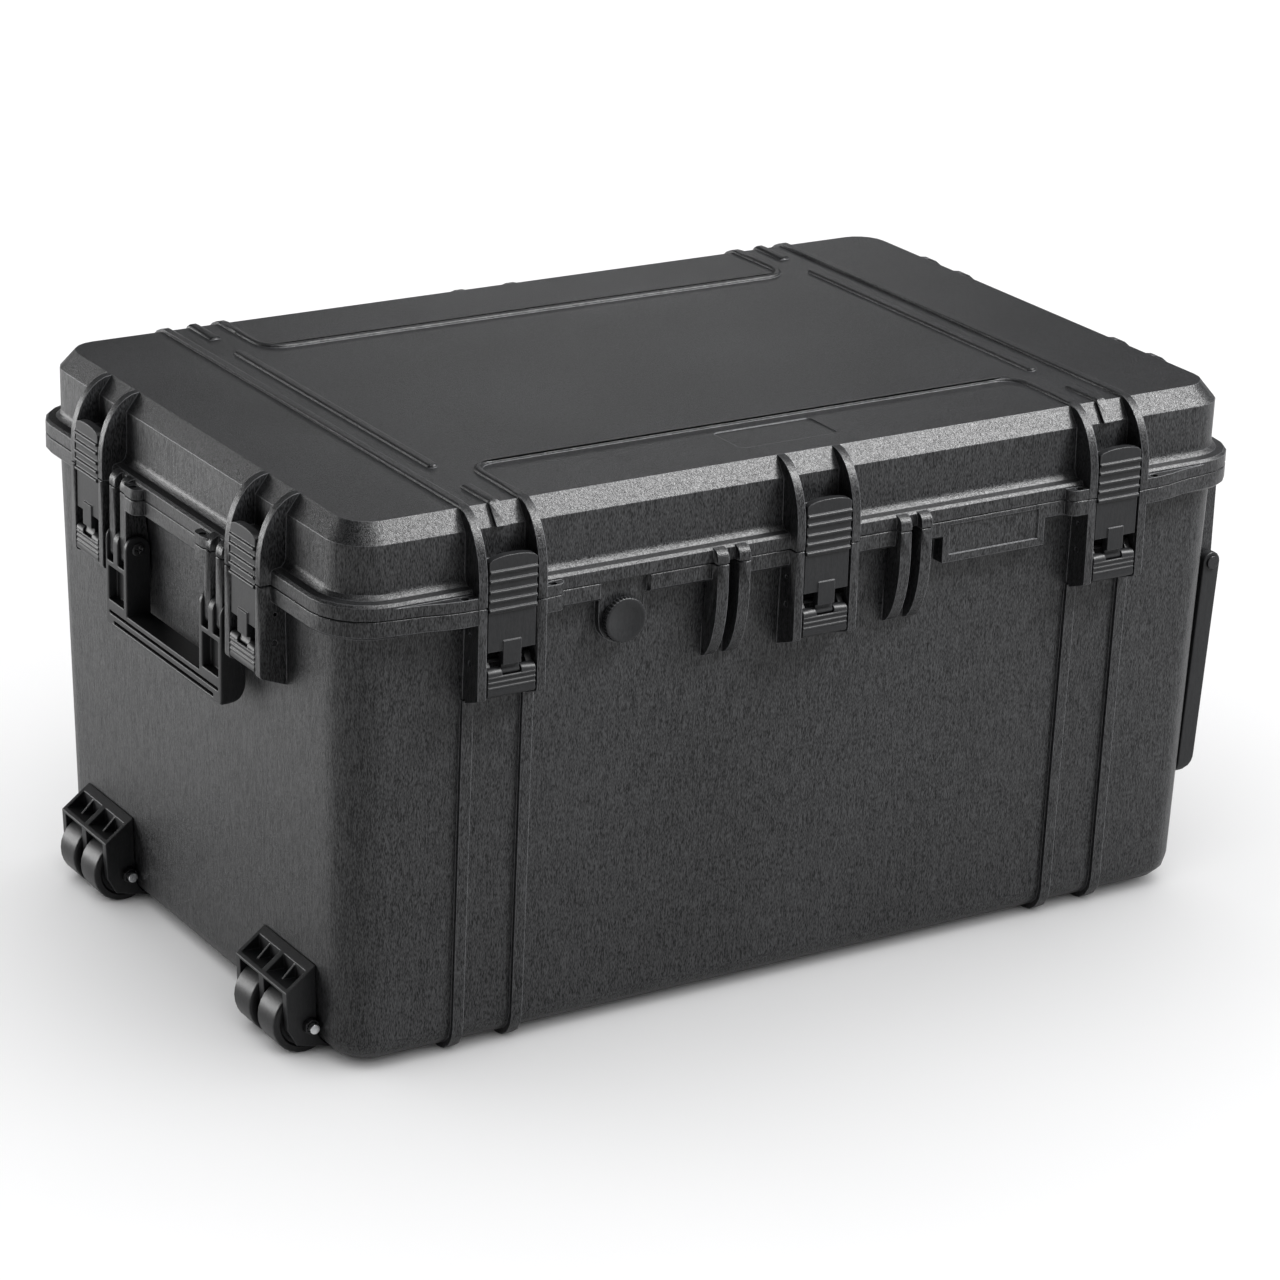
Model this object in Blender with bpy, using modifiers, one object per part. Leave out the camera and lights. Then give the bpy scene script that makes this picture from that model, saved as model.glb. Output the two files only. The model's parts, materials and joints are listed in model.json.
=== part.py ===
"""Large wheeled equipment case: two drafted shells, seven draw latches, two handles, wheels.

Metres, +Z up. The case stands on its skids at Z = 0 with its front at -Y, its carrying
handle and wheels at -X and its pull handle at +X. The origin is the bottom centre of the
whole case. Rim features are drawn in the frame of a station on the rim: X to the right as
seen from outside, Y inward from the rim's face, Z up from the floor.
"""
import math

import bmesh
import bpy
from mathutils import Matrix

# Rim and shells
RIM_HALF_X = 0.408
RIM_HALF_Y = 0.2654
RIM_RADIUS = 0.045
PART_Z = 0.3636
GAP = 0.0003
BORE_GAP = 0.0003
LID_Z = PART_Z + GAP
RIM_LOW_Z = 0.350
RIM_TOP_Z = 0.376
LID_TOP_Z = 0.431
FLOOR_Z = 0.005
WALL = 0.0055
WALL_INSET_HIGH = 0.0115
WALL_INSET_LOW = 0.0205
WALL_RADIUS = 0.031
EDGE_RADIUS = 0.019
INNER_EDGE_RADIUS = 0.014
LID_INSET = 0.012
LID_WALL = 0.005
CHAMFER_IN = 0.011
CHAMFER_DOWN = 0.0145
CORNER_STEPS = 5
RIM_WIDTH = 0.017
CATCH_OUT = 0.001

# Gasket in the lid's rim
GROOVE_OUT = 0.0075
GROOVE_IN = 0.0115
GROOVE_DEPTH = 0.004

# Latches: two fins on each side of the lever and claw
FRONT_LATCHES = (-0.2715, 0.0, 0.2715)
SIDE_LATCHES = (-0.1335, 0.1335)
FIN_IN = 0.0212
FIN_OUT = 0.0282
FIN_REACH = 0.009
FIN_LOW_Z = 0.292
FIN_ROOT_Z = 0.284
FIN_BEND_Z = 0.380
ROOT_Y = 0.0148
RIDGE = 0.0025
LATCH_HALF = 0.0197
LATCH_PIN = (0.003, 0.319)
LATCH_PIN_RADIUS = 0.002
CLAW_PIN = (-0.0045, 0.3125)
CLAW_PIN_RADIUS = 0.0012
TAB_HALF = 0.0075
GRIP_BARS = (0.361, 0.368, 0.375, 0.383, 0.390)
CROWN_Z = 0.402
CROWN_SIDE_Z = 0.3975
LATCH_HOLES = ((LATCH_PIN, LATCH_PIN_RADIUS + BORE_GAP, 10), ((0.0035, 0.341), 0.0016, 6))

# Ears with padlock holes, twin ribs and tall wall ribs
EAR_REACH = 0.0085
EAR_LOW_Z = 0.352
EAR_TOP_Z = 0.3725
EAR_HOLE_RADIUS = 0.0034
EAR_HOLE_Y = -0.0044
TWIN_CENTRE = 0.082
TWIN_OFFSET = 0.0095
TWIN_HALF = 0.0048
TWIN_REACH = 0.007
TWIN_GAP_DEPTH = 0.0120
FRONT_RIB_LOW_Z = 0.286
TALL_RIB_OFFSET = 0.0252
TALL_RIB_HALF = 0.0045
TALL_RIB_OUT = 0.0035
TALL_RIB_TOP_Z = 0.288

# Lid's ridges
STRAP_X = 0.2715
LONG_RIDGE_Y = 0.1625
RIDGE_TURN = 0.020
PLATE_HALF_X = 0.0440
PLATE_HALF_Y = 0.0204
PLATE_Y = -0.1972
PLATE_DEPTH = 0.0008

# Hinge at the back
HINGE_STATIONS = (-0.2715, 0.0, 0.2715)
HINGE_OUT = 0.0095
HINGE_Z = PART_Z + 0.0176
HINGE_EAR_RADIUS = 0.0065
HINGE_BARREL_RADIUS = 0.006
HINGE_HALF = 0.020
HINGE_PIN_RADIUS = 0.0025

# Carrying handle on the left
CARRY_PIVOT = (0.0008, 0.320)
CARRY_BOSS = 0.0103
CARRY_HALF = 0.0995
CARRY_INNER = 0.0625
CARRY_LOW_Z = 0.249
CARRY_GRIP_Z = 0.267
CARRY_SLOT_Z = 0.3035
CARRY_PIN_RADIUS = 0.0028
FINGER_LOW_Z = 0.3055

# Pull handle on the right
PULL_PIVOT = (-0.00385, 0.270)
PULL_END = 0.00835
PULL_HALF = 0.2255
PULL_INNER = 0.2175
PULL_LOW_Z = 0.087
PULL_GRIP_Z = 0.113
PULL_FOOT_Y = 0.0155
PULL_CORNER = 0.017
PULL_PIN_RADIUS = 0.003
BRACKET_IN = 0.2085
BRACKET_OUT = 0.2165

# Wheels, housings and axles on the left
WHEEL_SETS = (-0.1565, 0.1565)
AXLE_X = -0.3942
AXLE_Z = 0.0262
WHEEL_RADIUS = 0.0260
WHEEL_HALF = 0.01425
WHEEL_OFFSET = 0.0195
AXLE_RADIUS = 0.004
HOUSING_HALF = 0.0415
HOUSING_TOP_Z = 0.074
HOOD_X = -0.414
HOOD_Z = 0.0555
HOOD_UNDER_Z = 0.0535
POCKET_Z = 0.0575
POCKET_X = -0.396
WELL_RADIUS = 0.0285
WELL_BACKING = ((-0.3845, 0.061), (-0.3585, 0.061), (-0.3585, 0.0075), (-0.366, 0.0075),
                (-0.3845, 0.020))

# Valve in the front wall, blank label pad
VALVE_X = -0.1713
VALVE_Z = 0.3319
VALVE_RADIUS = 0.0178
VALVE_FLANGE = 0.015
VALVE_SPIGOT = 0.0065
PAD_Y = 0.0060
PAD_HALF = 0.0193
PAD_CLEARING = 0.0215
LABEL_LOW = (0.112, 0.330)
LABEL_HIGH = (0.208, PART_Z)

# The rim's centre stands this far from the origin, which is the middle of the whole case
CLAW_FRONT = 0.0104
CASE_Y = (CLAW_FRONT - HINGE_OUT - HINGE_EAR_RADIUS) / 2

SIDE_TURNS = {"front": 0, "right": 90, "back": 180, "left": -90}
PLANES = {
    "XY": Matrix(((1, 0, 0, 0), (0, 1, 0, 0), (0, 0, 1, 0), (0, 0, 0, 1))),
    "XZ": Matrix(((1, 0, 0, 0), (0, 0, -1, 0), (0, 1, 0, 0), (0, 0, 0, 1))),
    "YZ": Matrix(((0, 0, 1, 0), (1, 0, 0, 0), (0, 1, 0, 0), (0, 0, 0, 1))),
}
AXIS_OF = {"XY": (0, 0, 1), "XZ": (0, 1, 0), "YZ": (1, 0, 0)}


# ---------------------------------------------------------------- scene helpers
def clear_scene():
    for item in list(bpy.data.objects):
        bpy.data.objects.remove(item)


def make_material(name, colour, roughness, metallic=0.0):
    material = bpy.data.materials.new(name)
    material.use_nodes = True
    shader = material.node_tree.nodes["Principled BSDF"]
    shader.inputs["Base Color"].default_value = (*colour, 1.0)
    shader.inputs["Roughness"].default_value = roughness
    shader.inputs["Metallic"].default_value = metallic
    return material


def evaluated_mesh(item):
    """Mesh of an object as the viewport shows it, welded and facing out."""
    bpy.context.view_layer.update()
    ready = item.evaluated_get(bpy.context.evaluated_depsgraph_get())
    mesh = bpy.data.meshes.new_from_object(ready)
    cage = bmesh.new()
    cage.from_mesh(mesh)
    bmesh.ops.remove_doubles(cage, verts=cage.verts, dist=2e-6)
    bmesh.ops.recalc_face_normals(cage, faces=cage.faces)
    cage.to_mesh(mesh)
    cage.free()
    return mesh


def mesh_from(cage):
    mesh = bpy.data.meshes.new("shape")
    bmesh.ops.recalc_face_normals(cage, faces=cage.faces)
    cage.to_mesh(mesh)
    cage.free()
    return mesh


def moved(mesh, frame):
    """Copy of a mesh, carried by a frame."""
    copy = mesh.copy()
    copy.transform(frame)
    return copy


def combine(mesh, joined=(), cut=(), common=()):
    """Mesh with others joined to it, then cut from it, then kept only where they overlap."""
    scene_objects = bpy.context.scene.collection
    body = bpy.data.objects.new("body", mesh)
    scene_objects.objects.link(body)
    groups = []
    for operation, tools in (("UNION", joined), ("DIFFERENCE", cut), ("INTERSECT", common)):
        if not tools:
            continue
        group = bpy.data.collections.new(operation.lower())
        scene_objects.children.link(group)
        for tool in tools:
            group.objects.link(bpy.data.objects.new("tool", tool))
        step = body.modifiers.new(operation.lower(), "BOOLEAN")
        step.operation = operation
        step.operand_type = "COLLECTION"
        step.collection = group
        step.solver = "EXACT"
        groups.append(group)
    result = evaluated_mesh(body)
    bpy.data.objects.remove(body)
    for group in groups:
        for tool in list(group.objects):
            bpy.data.objects.remove(tool)
        bpy.data.collections.remove(group)
    return result


# ---------------------------------------------------------------- outlines and solids
def arc(centre, radius, start, stop, steps):
    """Points along a circle or, with two radii, an ellipse; angles in degrees."""
    wide, high = radius if isinstance(radius, tuple) else (radius, radius)
    points = []
    for step in range(steps + 1):
        angle = math.radians(start + (stop - start) * step / steps)
        points.append((centre[0] + wide * math.cos(angle), centre[1] + high * math.sin(angle)))
    return points


def rounded_rectangle(half_x, half_y, radius, steps=CORNER_STEPS):
    points = []
    for turn, (side_x, side_y) in enumerate(((1, 1), (-1, 1), (-1, -1), (1, -1))):
        centre = (side_x * (half_x - radius), side_y * (half_y - radius))
        points += arc(centre, radius, 90 * turn, 90 * turn + 90, steps)
    return points


def shifted(points, offset):
    return [(u + offset[0], v + offset[1]) for u, v in points]


def mirrored_across(points):
    """An outline's right half, completed by its mirror image at -u."""
    return points + [(-u, v) for u, v in reversed(points)]


def slab(outline, low, high, plane, holes=()):
    """Flat outline in a plane, filled from low to high along the plane's normal."""
    curve = bpy.data.curves.new("outline", "CURVE")
    curve.dimensions = "2D"
    curve.fill_mode = "BOTH"
    curve.extrude = (high - low) / 2
    for ring in (outline, *holes):
        spline = curve.splines.new("POLY")
        spline.points.add(len(ring) - 1)
        for point, (u, v) in zip(spline.points, ring):
            point.co = (u, v, 0, 1)
        spline.use_cyclic_u = True
    item = bpy.data.objects.new("outline", curve)
    bpy.context.scene.collection.objects.link(item)
    mesh = evaluated_mesh(item)
    bpy.data.objects.remove(item)
    middle = [(low + high) / 2 * part for part in AXIS_OF[plane]]
    mesh.transform(Matrix.Translation(middle) @ PLANES[plane])
    return mesh


def block(low, high):
    cage = bmesh.new()
    bmesh.ops.create_cube(cage, size=1.0)
    size = [top - bottom for bottom, top in zip(low, high)]
    middle = [(top + bottom) / 2 for bottom, top in zip(low, high)]
    bmesh.ops.scale(cage, vec=size, verts=cage.verts)
    bmesh.ops.translate(cage, vec=middle, verts=cage.verts)
    return mesh_from(cage)


def rod(centre, radius, low, high, plane="YZ", sides=16):
    """Cylinder whose axis is the plane's normal, from low to high along it."""
    cage = bmesh.new()
    bmesh.ops.create_cone(cage, cap_ends=True, segments=sides, radius1=radius,
                          radius2=radius, depth=high - low)
    mesh = mesh_from(cage)
    middle = [(low + high) / 2 * part for part in AXIS_OF[plane]]
    at_centre = Matrix.Translation((*centre, 0))
    mesh.transform(Matrix.Translation(middle) @ PLANES[plane] @ at_centre)
    return mesh


def loft(levels):
    """Closed skin through level rings (inset from the rim, height, corner radius)."""
    cage = bmesh.new()
    rings = []
    for inset, height, radius in levels:
        ring = rounded_rectangle(RIM_HALF_X - inset, RIM_HALF_Y - inset, radius)
        rings.append([cage.verts.new((x, y, height)) for x, y in ring])
    for lower, upper in zip(rings, rings[1:]):
        for index in range(len(lower)):
            following = (index + 1) % len(lower)
            cage.faces.new((lower[index], lower[following], upper[following], upper[index]))
    cage.faces.new(rings[0])
    cage.faces.new(rings[-1])
    return mesh_from(cage)


def turned(profile, sides):
    """Mesh of a closed profile (distance from the axis, place along it) turned about Y."""
    cage = bmesh.new()
    corners = [cage.verts.new((distance, place, 0)) for distance, place in profile]
    for corner, following in zip(corners, corners[1:] + corners[:1]):
        cage.edges.new((corner, following))
    item = bpy.data.objects.new("profile", bpy.data.meshes.new("profile"))
    cage.to_mesh(item.data)
    cage.free()
    bpy.context.scene.collection.objects.link(item)
    screw = item.modifiers.new("turn", "SCREW")
    screw.axis = "Y"
    screw.steps = sides
    screw.render_steps = sides
    screw.use_merge_vertices = True
    screw.merge_threshold = 0.00001
    mesh = evaluated_mesh(item)
    bpy.data.objects.remove(item)
    return mesh


def station(side, along=0.0):
    """Frame of a place on the rim's face."""
    reach = RIM_HALF_Y if side in ("front", "back") else RIM_HALF_X
    turn = Matrix.Rotation(math.radians(SIDE_TURNS[side]), 4, "Z")
    return turn @ Matrix.Translation((along, -reach, 0))


def latch_frames():
    """Name and frame of each latch."""
    frames = {}
    for label, along in zip(("left", "middle", "right"), FRONT_LATCHES):
        frames["front_" + label] = station("front", along)
    for label, along in zip(("rear", "front"), SIDE_LATCHES):
        frames["left_side_" + label] = station("left", along)
    for label, along in zip(("front", "rear"), SIDE_LATCHES):
        frames["right_side_" + label] = station("right", along)
    return frames


def wall_inset(height):
    """How far the base's outer wall stands inside the rim's face at a height."""
    share = (RIM_LOW_Z - height) / (RIM_LOW_Z - FLOOR_Z)
    return WALL_INSET_HIGH + share * (WALL_INSET_LOW - WALL_INSET_HIGH)


# ---------------------------------------------------------------- shells
def base_skin():
    """Drafted tub: outside from the floor up, over the rim and down inside."""
    bend_z = FLOOR_Z + EDGE_RADIUS
    levels = []
    for angle in (0, 30, 60, 90):
        lift = math.radians(angle)
        inset = wall_inset(bend_z) + EDGE_RADIUS * (1 - math.sin(lift))
        radius = WALL_RADIUS - 0.8 * EDGE_RADIUS * (1 - math.sin(lift))
        levels.append((inset, bend_z - EDGE_RADIUS * math.cos(lift), radius))
    levels += [
        (wall_inset(RIM_LOW_Z - 0.004), RIM_LOW_Z - 0.004, 0.034),
        (0.009, RIM_LOW_Z - 0.001, 0.037),
        (0.002, RIM_LOW_Z, 0.043),
        (0.0, RIM_LOW_Z + 0.002, RIM_RADIUS),
        (0.0, PART_Z, RIM_RADIUS),
        (RIM_WIDTH, PART_Z, 0.030),
    ]
    inner_bend_z = FLOOR_Z + WALL + INNER_EDGE_RADIUS
    for angle in (90, 45, 0):
        lift = math.radians(angle)
        inset = wall_inset(inner_bend_z) + WALL + INNER_EDGE_RADIUS * (1 - math.sin(lift))
        radius = 0.026 - 0.8 * INNER_EDGE_RADIUS * (1 - math.sin(lift))
        levels.append((inset, inner_bend_z - INNER_EDGE_RADIUS * math.cos(lift), radius))
    return loft(levels)


def lid_skin():
    """Lid with its broad chamfer, rim and hollow."""
    chamfer_z = LID_TOP_Z - CHAMFER_DOWN
    top_inset = LID_INSET + 0.0005 + CHAMFER_IN
    return loft([
        (top_inset, LID_TOP_Z, 0.024),
        (LID_INSET + 0.0005, chamfer_z, 0.031),
        (LID_INSET, RIM_TOP_Z + 0.008, 0.034),
        (LID_INSET - 0.001, RIM_TOP_Z + 0.004, 0.036),
        (LID_INSET - 0.004, RIM_TOP_Z + 0.0008, 0.038),
        (0.002, RIM_TOP_Z, 0.043),
        (0.0, RIM_TOP_Z - 0.002, RIM_RADIUS),
        (0.0, LID_Z, RIM_RADIUS),
        (RIM_WIDTH, LID_Z, 0.030),
        (RIM_WIDTH + 0.0005, chamfer_z - 0.002, 0.027),
        (top_inset + 0.003, LID_TOP_Z - LID_WALL, 0.022),
    ])


def rim_ring(outer_inset, inner_inset, low, high):
    """Flat ring that follows the rim between two insets."""
    rings = []
    for inset in (outer_inset, inner_inset):
        radius = RIM_RADIUS - inset * 0.9
        rings.append(rounded_rectangle(RIM_HALF_X - inset, RIM_HALF_Y - inset, radius))
    return slab(rings[0], low, high, "XY", holes=rings[1:])


def fin_pair(outline, frame):
    """The same plate on both sides of a latch or hinge."""
    pair = []
    for low, high in ((-FIN_OUT, -FIN_IN), (FIN_IN, FIN_OUT)):
        pair.append(moved(slab(outline, low, high, "YZ"), frame))
    return pair


def base_fin():
    outline = [(ROOT_Y, PART_Z), (-FIN_REACH, PART_Z)]
    outline += arc((-FIN_REACH + 0.003, FIN_LOW_Z + 0.003), 0.003, 180, 260, 2)
    outline += [(ROOT_Y, FIN_ROOT_Z)]
    return outline


def lid_fin(tail):
    """Upright fin that bends back over the chamfer; a tail runs on along the lid's top."""
    crest_z = LID_TOP_Z + (RIDGE if tail else 0.0)
    crest_y = 0.0275 if tail else 0.024
    bend = arc((crest_y, FIN_BEND_Z), (crest_y + FIN_REACH, crest_z - FIN_BEND_Z), 180, 90, 8)
    outline = [(ROOT_Y, LID_Z), (-FIN_REACH, LID_Z)] + bend
    if tail:
        outline += [(tail, crest_z), (tail, LID_TOP_Z - 0.003)]
    outline += [(0.0265, LID_TOP_Z - 0.003), (ROOT_Y, LID_TOP_Z - CHAMFER_DOWN - 0.002)]
    return outline


def twin_rib(low, high, frame, centre, lower_reach):
    """Two neighbouring ribs on the rim, drawn once and set on both sides of the centre."""
    pair = []
    for offset in (-TWIN_OFFSET, TWIN_OFFSET):
        middle = centre + offset
        plate = slab(lower_reach, middle - TWIN_HALF, middle + TWIN_HALF, "YZ")
        cropped = combine(plate, common=[block((-1, -1, low), (1, 1, high))])
        pair.append(moved(cropped, frame))
    return pair


def twin_crown():
    """Rounded top that starts just under the rim's own top."""
    top = RIM_TOP_Z - 0.0006
    return [(0.006, top)] + arc((0.001, top - 0.008), (TWIN_REACH + 0.001, 0.008), 90, 180, 5)


def front_rib_outline():
    high = 0.342
    sweep = arc((ROOT_Y, high), (ROOT_Y + TWIN_REACH, high - FRONT_RIB_LOW_Z), 180, 264, 7)
    return twin_crown() + sweep + [(ROOT_Y, FRONT_RIB_LOW_Z)]


def finger_outline():
    end = arc((-0.002, FINGER_LOW_Z + 0.005), 0.005, 180, 270, 3)
    return twin_crown() + end + [(0.0142, FINGER_LOW_Z)]


def twin_ribs(low, high):
    """Ribs on the front and the left side, cropped to the base's or the lid's height."""
    pieces = []
    for side, outline in (("front", front_rib_outline()), ("left", finger_outline())):
        for centre in (-TWIN_CENTRE, TWIN_CENTRE):
            pieces += twin_rib(low, high, station(side), centre, outline)
    return pieces


def ear_outlines():
    """Rim ears in rim frames: outline and hole centre."""
    ears = []
    for mirror in (1, -1):
        flare = [(-0.092, 0.006), (-0.092, 0.0), (-0.068, -0.0030), (-0.054, -0.0066),
                 (-0.040, -EAR_REACH), (-0.026, -EAR_REACH), (-0.026, 0.006)]
        tab = [(0.026, 0.006), (0.026, -EAR_REACH)]
        tab += arc((0.0378, -EAR_REACH + 0.0072), 0.0072, 270, 360, 5) + [(0.0450, 0.006)]
        centre = mirror * FRONT_LATCHES[0]
        for outline, hole in ((flare, -0.0375), (tab, 0.035)):
            ring = [(centre + mirror * u, v) for u, v in outline]
            ears.append((station("front"), ring, (centre + mirror * hole, EAR_HOLE_Y)))
        loop = [(0.0490, 0.006)] + arc((0.0562, -EAR_REACH + 0.0072), 0.0072, 180, 270, 5)
        loop += [(0.0660, -EAR_REACH), (0.0715, -TWIN_REACH + 0.0006), (0.0715, 0.006)]
        ring = [(mirror * u, v) for u, v in loop]
        ears.append((station("left"), ring, (mirror * 0.0600, EAR_HOLE_Y)))
    return ears


def ear_solids(low, high):
    return [moved(slab(ring, low, high, "XY"), frame) for frame, ring, _ in ear_outlines()]


def ear_holes():
    holes = []
    for frame, _, centre in ear_outlines():
        hole = rod(centre, EAR_HOLE_RADIUS, EAR_LOW_Z - 0.01, RIM_TOP_Z + 0.01, "XY", 12)
        holes.append(moved(hole, frame))
    return holes


def tall_rib():
    """Rib that climbs the front and back walls and runs under the floor as a skid."""
    bend_z = FLOOR_Z + EDGE_RADIUS
    turn_y = RIM_HALF_Y - wall_inset(bend_z) - EDGE_RADIUS
    half = []
    for out, under in ((TALL_RIB_OUT, FLOOR_Z), (-0.0025, -0.0025)):
        high_y = RIM_HALF_Y - wall_inset(TALL_RIB_TOP_Z) + out
        radii = (EDGE_RADIUS + out, EDGE_RADIUS + under)
        half.append([(high_y, TALL_RIB_TOP_Z)] + arc((turn_y, bend_z), radii, 0, -90, 4))
    outer, inner = half
    return mirrored_across(outer) + mirrored_across(inner)[::-1]


def hinge_block():
    """Base's arm that carries the hinge pin between the lid's ears."""
    barrel = arc((-HINGE_OUT, HINGE_Z), HINGE_BARREL_RADIUS, 180, 0, 8)
    outer_y = -HINGE_OUT - HINGE_BARREL_RADIUS
    inner_y = -HINGE_OUT + HINGE_BARREL_RADIUS
    return ([(ROOT_Y, 0.318), (-0.002, 0.324), (outer_y, 0.345)] + barrel
            + [(inner_y, PART_Z), (ROOT_Y, PART_Z)])


def pull_bracket():
    tip = arc((-0.0015, 0.262), 0.008, 180, 250, 3)
    return [(ROOT_Y, 0.351), (-0.003, 0.351), (-0.0095, 0.338)] + tip + [(ROOT_Y, 0.246)]


def valve_pad():
    """Outline of the raised seat that runs from the rim down round the valve."""
    foot = arc((VALVE_X, VALVE_Z), PAD_HALF, 180, 360, 12)
    return [(VALVE_X - PAD_HALF, RIM_LOW_Z + 0.004)] + foot + [(VALVE_X + PAD_HALF, RIM_LOW_Z + 0.004)]


def base_additions():
    pieces = []
    for frame in latch_frames().values():
        pieces += fin_pair(base_fin(), frame)
    pieces += twin_ribs(0.0, PART_Z)
    pieces += ear_solids(EAR_LOW_Z, PART_Z)
    for strap in (-STRAP_X, STRAP_X):
        for offset in (-TALL_RIB_OFFSET, TALL_RIB_OFFSET):
            middle = strap + offset
            pieces.append(slab(tall_rib(), middle - TALL_RIB_HALF, middle + TALL_RIB_HALF, "YZ"))
    for along in HINGE_STATIONS:
        arm = slab(hinge_block(), -HINGE_HALF, HINGE_HALF, "YZ")
        pieces.append(moved(arm, station("back", along)))
    for low, high in ((-BRACKET_OUT, -BRACKET_IN), (BRACKET_IN, BRACKET_OUT)):
        pieces.append(moved(slab(pull_bracket(), low, high, "YZ"), station("right")))
    pieces.append(moved(block((LABEL_LOW[0], 0.0, LABEL_LOW[1]),
                              (LABEL_HIGH[0], ROOT_Y, LABEL_HIGH[1])), station("front")))
    pieces.append(moved(slab(valve_pad(), PAD_Y, ROOT_Y, "XZ"), station("front")))
    for middle in WHEEL_SETS:
        pieces.append(slab(WELL_BACKING, middle - 0.0435, middle + 0.0435, "XZ"))
    return pieces


def base_cuts():
    cuts = ear_holes()
    for frame in latch_frames().values():
        for low, high in ((-FIN_OUT - 0.001, -FIN_IN + 0.001), (FIN_IN - 0.001, FIN_OUT + 0.001)):
            for place, radius, sides in LATCH_HOLES:
                cuts.append(moved(rod(place, radius, low, high, sides=sides), frame))
    for along in HINGE_STATIONS:
        bore = rod((-HINGE_OUT, HINGE_Z), HINGE_PIN_RADIUS + BORE_GAP, -0.03, 0.03)
        cuts.append(moved(bore, station("back", along)))
    for low in (CARRY_INNER, -CARRY_HALF):
        high = low + CARRY_HALF - CARRY_INNER
        cuts.append(moved(rod(CARRY_PIVOT, CARRY_PIN_RADIUS + BORE_GAP, low, high), station("left")))
    for low in (BRACKET_IN - 0.001, -BRACKET_OUT - 0.001):
        high = low + BRACKET_OUT - BRACKET_IN + 0.002
        cuts.append(moved(rod(PULL_PIVOT, PULL_PIN_RADIUS + BORE_GAP, low, high), station("right")))
    recess = block((LABEL_LOW[0] + 0.006, -0.001, LABEL_LOW[1] + 0.006),
                   (LABEL_HIGH[0] - 0.006, 0.0013, LABEL_HIGH[1] - 0.0035))
    clearing = block((VALVE_X - PAD_CLEARING, -0.001, RIM_LOW_Z - 0.002),
                     (VALVE_X + PAD_CLEARING, PAD_Y, PART_Z + 0.001))
    spigot = rod((VALVE_X, VALVE_Z), VALVE_SPIGOT + BORE_GAP, PAD_Y - 0.001, 0.021, "XZ", 24)
    cuts += [moved(cut, station("front")) for cut in (recess, clearing, spigot)]
    gap = TWIN_OFFSET - TWIN_HALF
    for side in ("front", "left"):
        for middle in (-TWIN_CENTRE, TWIN_CENTRE):
            slit = block((middle - gap, -0.001, RIM_LOW_Z - 0.001),
                         (middle + gap, TWIN_GAP_DEPTH, PART_Z + 0.001))
            cuts.append(moved(slit, station(side)))
    for middle in WHEEL_SETS:
        cuts.append(rod((AXLE_X, AXLE_Z), WELL_RADIUS, middle - 0.0385, middle + 0.0385, "XZ", 24))
    return cuts


def ribbon(path, half):
    """Outline of a band of even width along an open path."""
    left = []
    right = []
    for index, (x, y) in enumerate(path):
        before = path[max(index - 1, 0)]
        after = path[min(index + 1, len(path) - 1)]
        length = math.hypot(after[0] - before[0], after[1] - before[1])
        normal = ((before[1] - after[1]) / length, (after[0] - before[0]) / length)
        left.append((x + half * normal[0], y + half * normal[1]))
        right.append((x - half * normal[0], y - half * normal[1]))
    return left + right[::-1]


def lid_ridges():
    """Low ridges on the lid's top: full-depth straps, the two long bows and short ribs."""
    low = LID_TOP_Z - 0.002
    high = LID_TOP_Z + RIDGE
    fin_middle = (FIN_IN + FIN_OUT) / 2
    pieces = []
    for strap in (-STRAP_X, STRAP_X):
        outer_x = strap + math.copysign(fin_middle, strap)
        pieces.append(block((outer_x - 0.0035, -0.2125, low), (outer_x + 0.0035, 0.2125, high)))
        middle_rib = shifted(rounded_rectangle(0.0045, 0.160, 0.004, 2), (strap, 0.004))
        pieces.append(slab(middle_rib, low, high, "XY"))
    inner_x = STRAP_X - fin_middle
    for end in (-1, 1):
        corner = (inner_x - RIDGE_TURN, LONG_RIDGE_Y + RIDGE_TURN)
        half_path = [(inner_x, 0.215)] + arc(corner, RIDGE_TURN, 0, -90, 5)
        bow = [(x, end * y) for x, y in mirrored_across(half_path)]
        pieces.append(slab(ribbon(bow, 0.003), low, high, "XY"))
    return pieces


def strap_nose():
    """Short rib that steps over the chamfer between a latch's fins."""
    return [(0.062, LID_TOP_Z - 0.002), (0.062, LID_TOP_Z + RIDGE), (0.022, LID_TOP_Z + RIDGE),
            (LID_INSET - 0.0035, LID_TOP_Z - CHAMFER_DOWN + 0.001),
            (LID_INSET + 0.003, LID_TOP_Z - CHAMFER_DOWN - 0.001),
            (0.026, LID_TOP_Z - 0.002)]


def lid_additions():
    pieces = []
    for name, frame in latch_frames().items():
        tail = 0.055 if name in ("front_left", "front_right") else 0.0
        pieces += fin_pair(lid_fin(tail), frame)
        catch = block((-FIN_IN - 0.001, -CATCH_OUT, RIM_TOP_Z - 0.002), (FIN_IN + 0.001, ROOT_Y, 0.3935))
        pieces.append(moved(catch, frame))
    for along in HINGE_STATIONS:
        frame = station("back", along)
        pieces += fin_pair(lid_fin(0.055 if along else 0.0), frame)
        for low, high in ((-FIN_OUT, -FIN_IN), (FIN_IN, FIN_OUT)):
            pieces.append(moved(rod((-HINGE_OUT, HINGE_Z), HINGE_EAR_RADIUS, low, high), frame))
    for side in ("front", "back"):
        for along in (-STRAP_X, STRAP_X):
            nose = slab(strap_nose(), -0.0045, 0.0045, "YZ")
            pieces.append(moved(nose, station(side, along)))
    pieces += twin_ribs(LID_Z, LID_TOP_Z)
    pieces += ear_solids(LID_Z, EAR_TOP_Z)
    pieces += lid_ridges()
    return pieces


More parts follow.
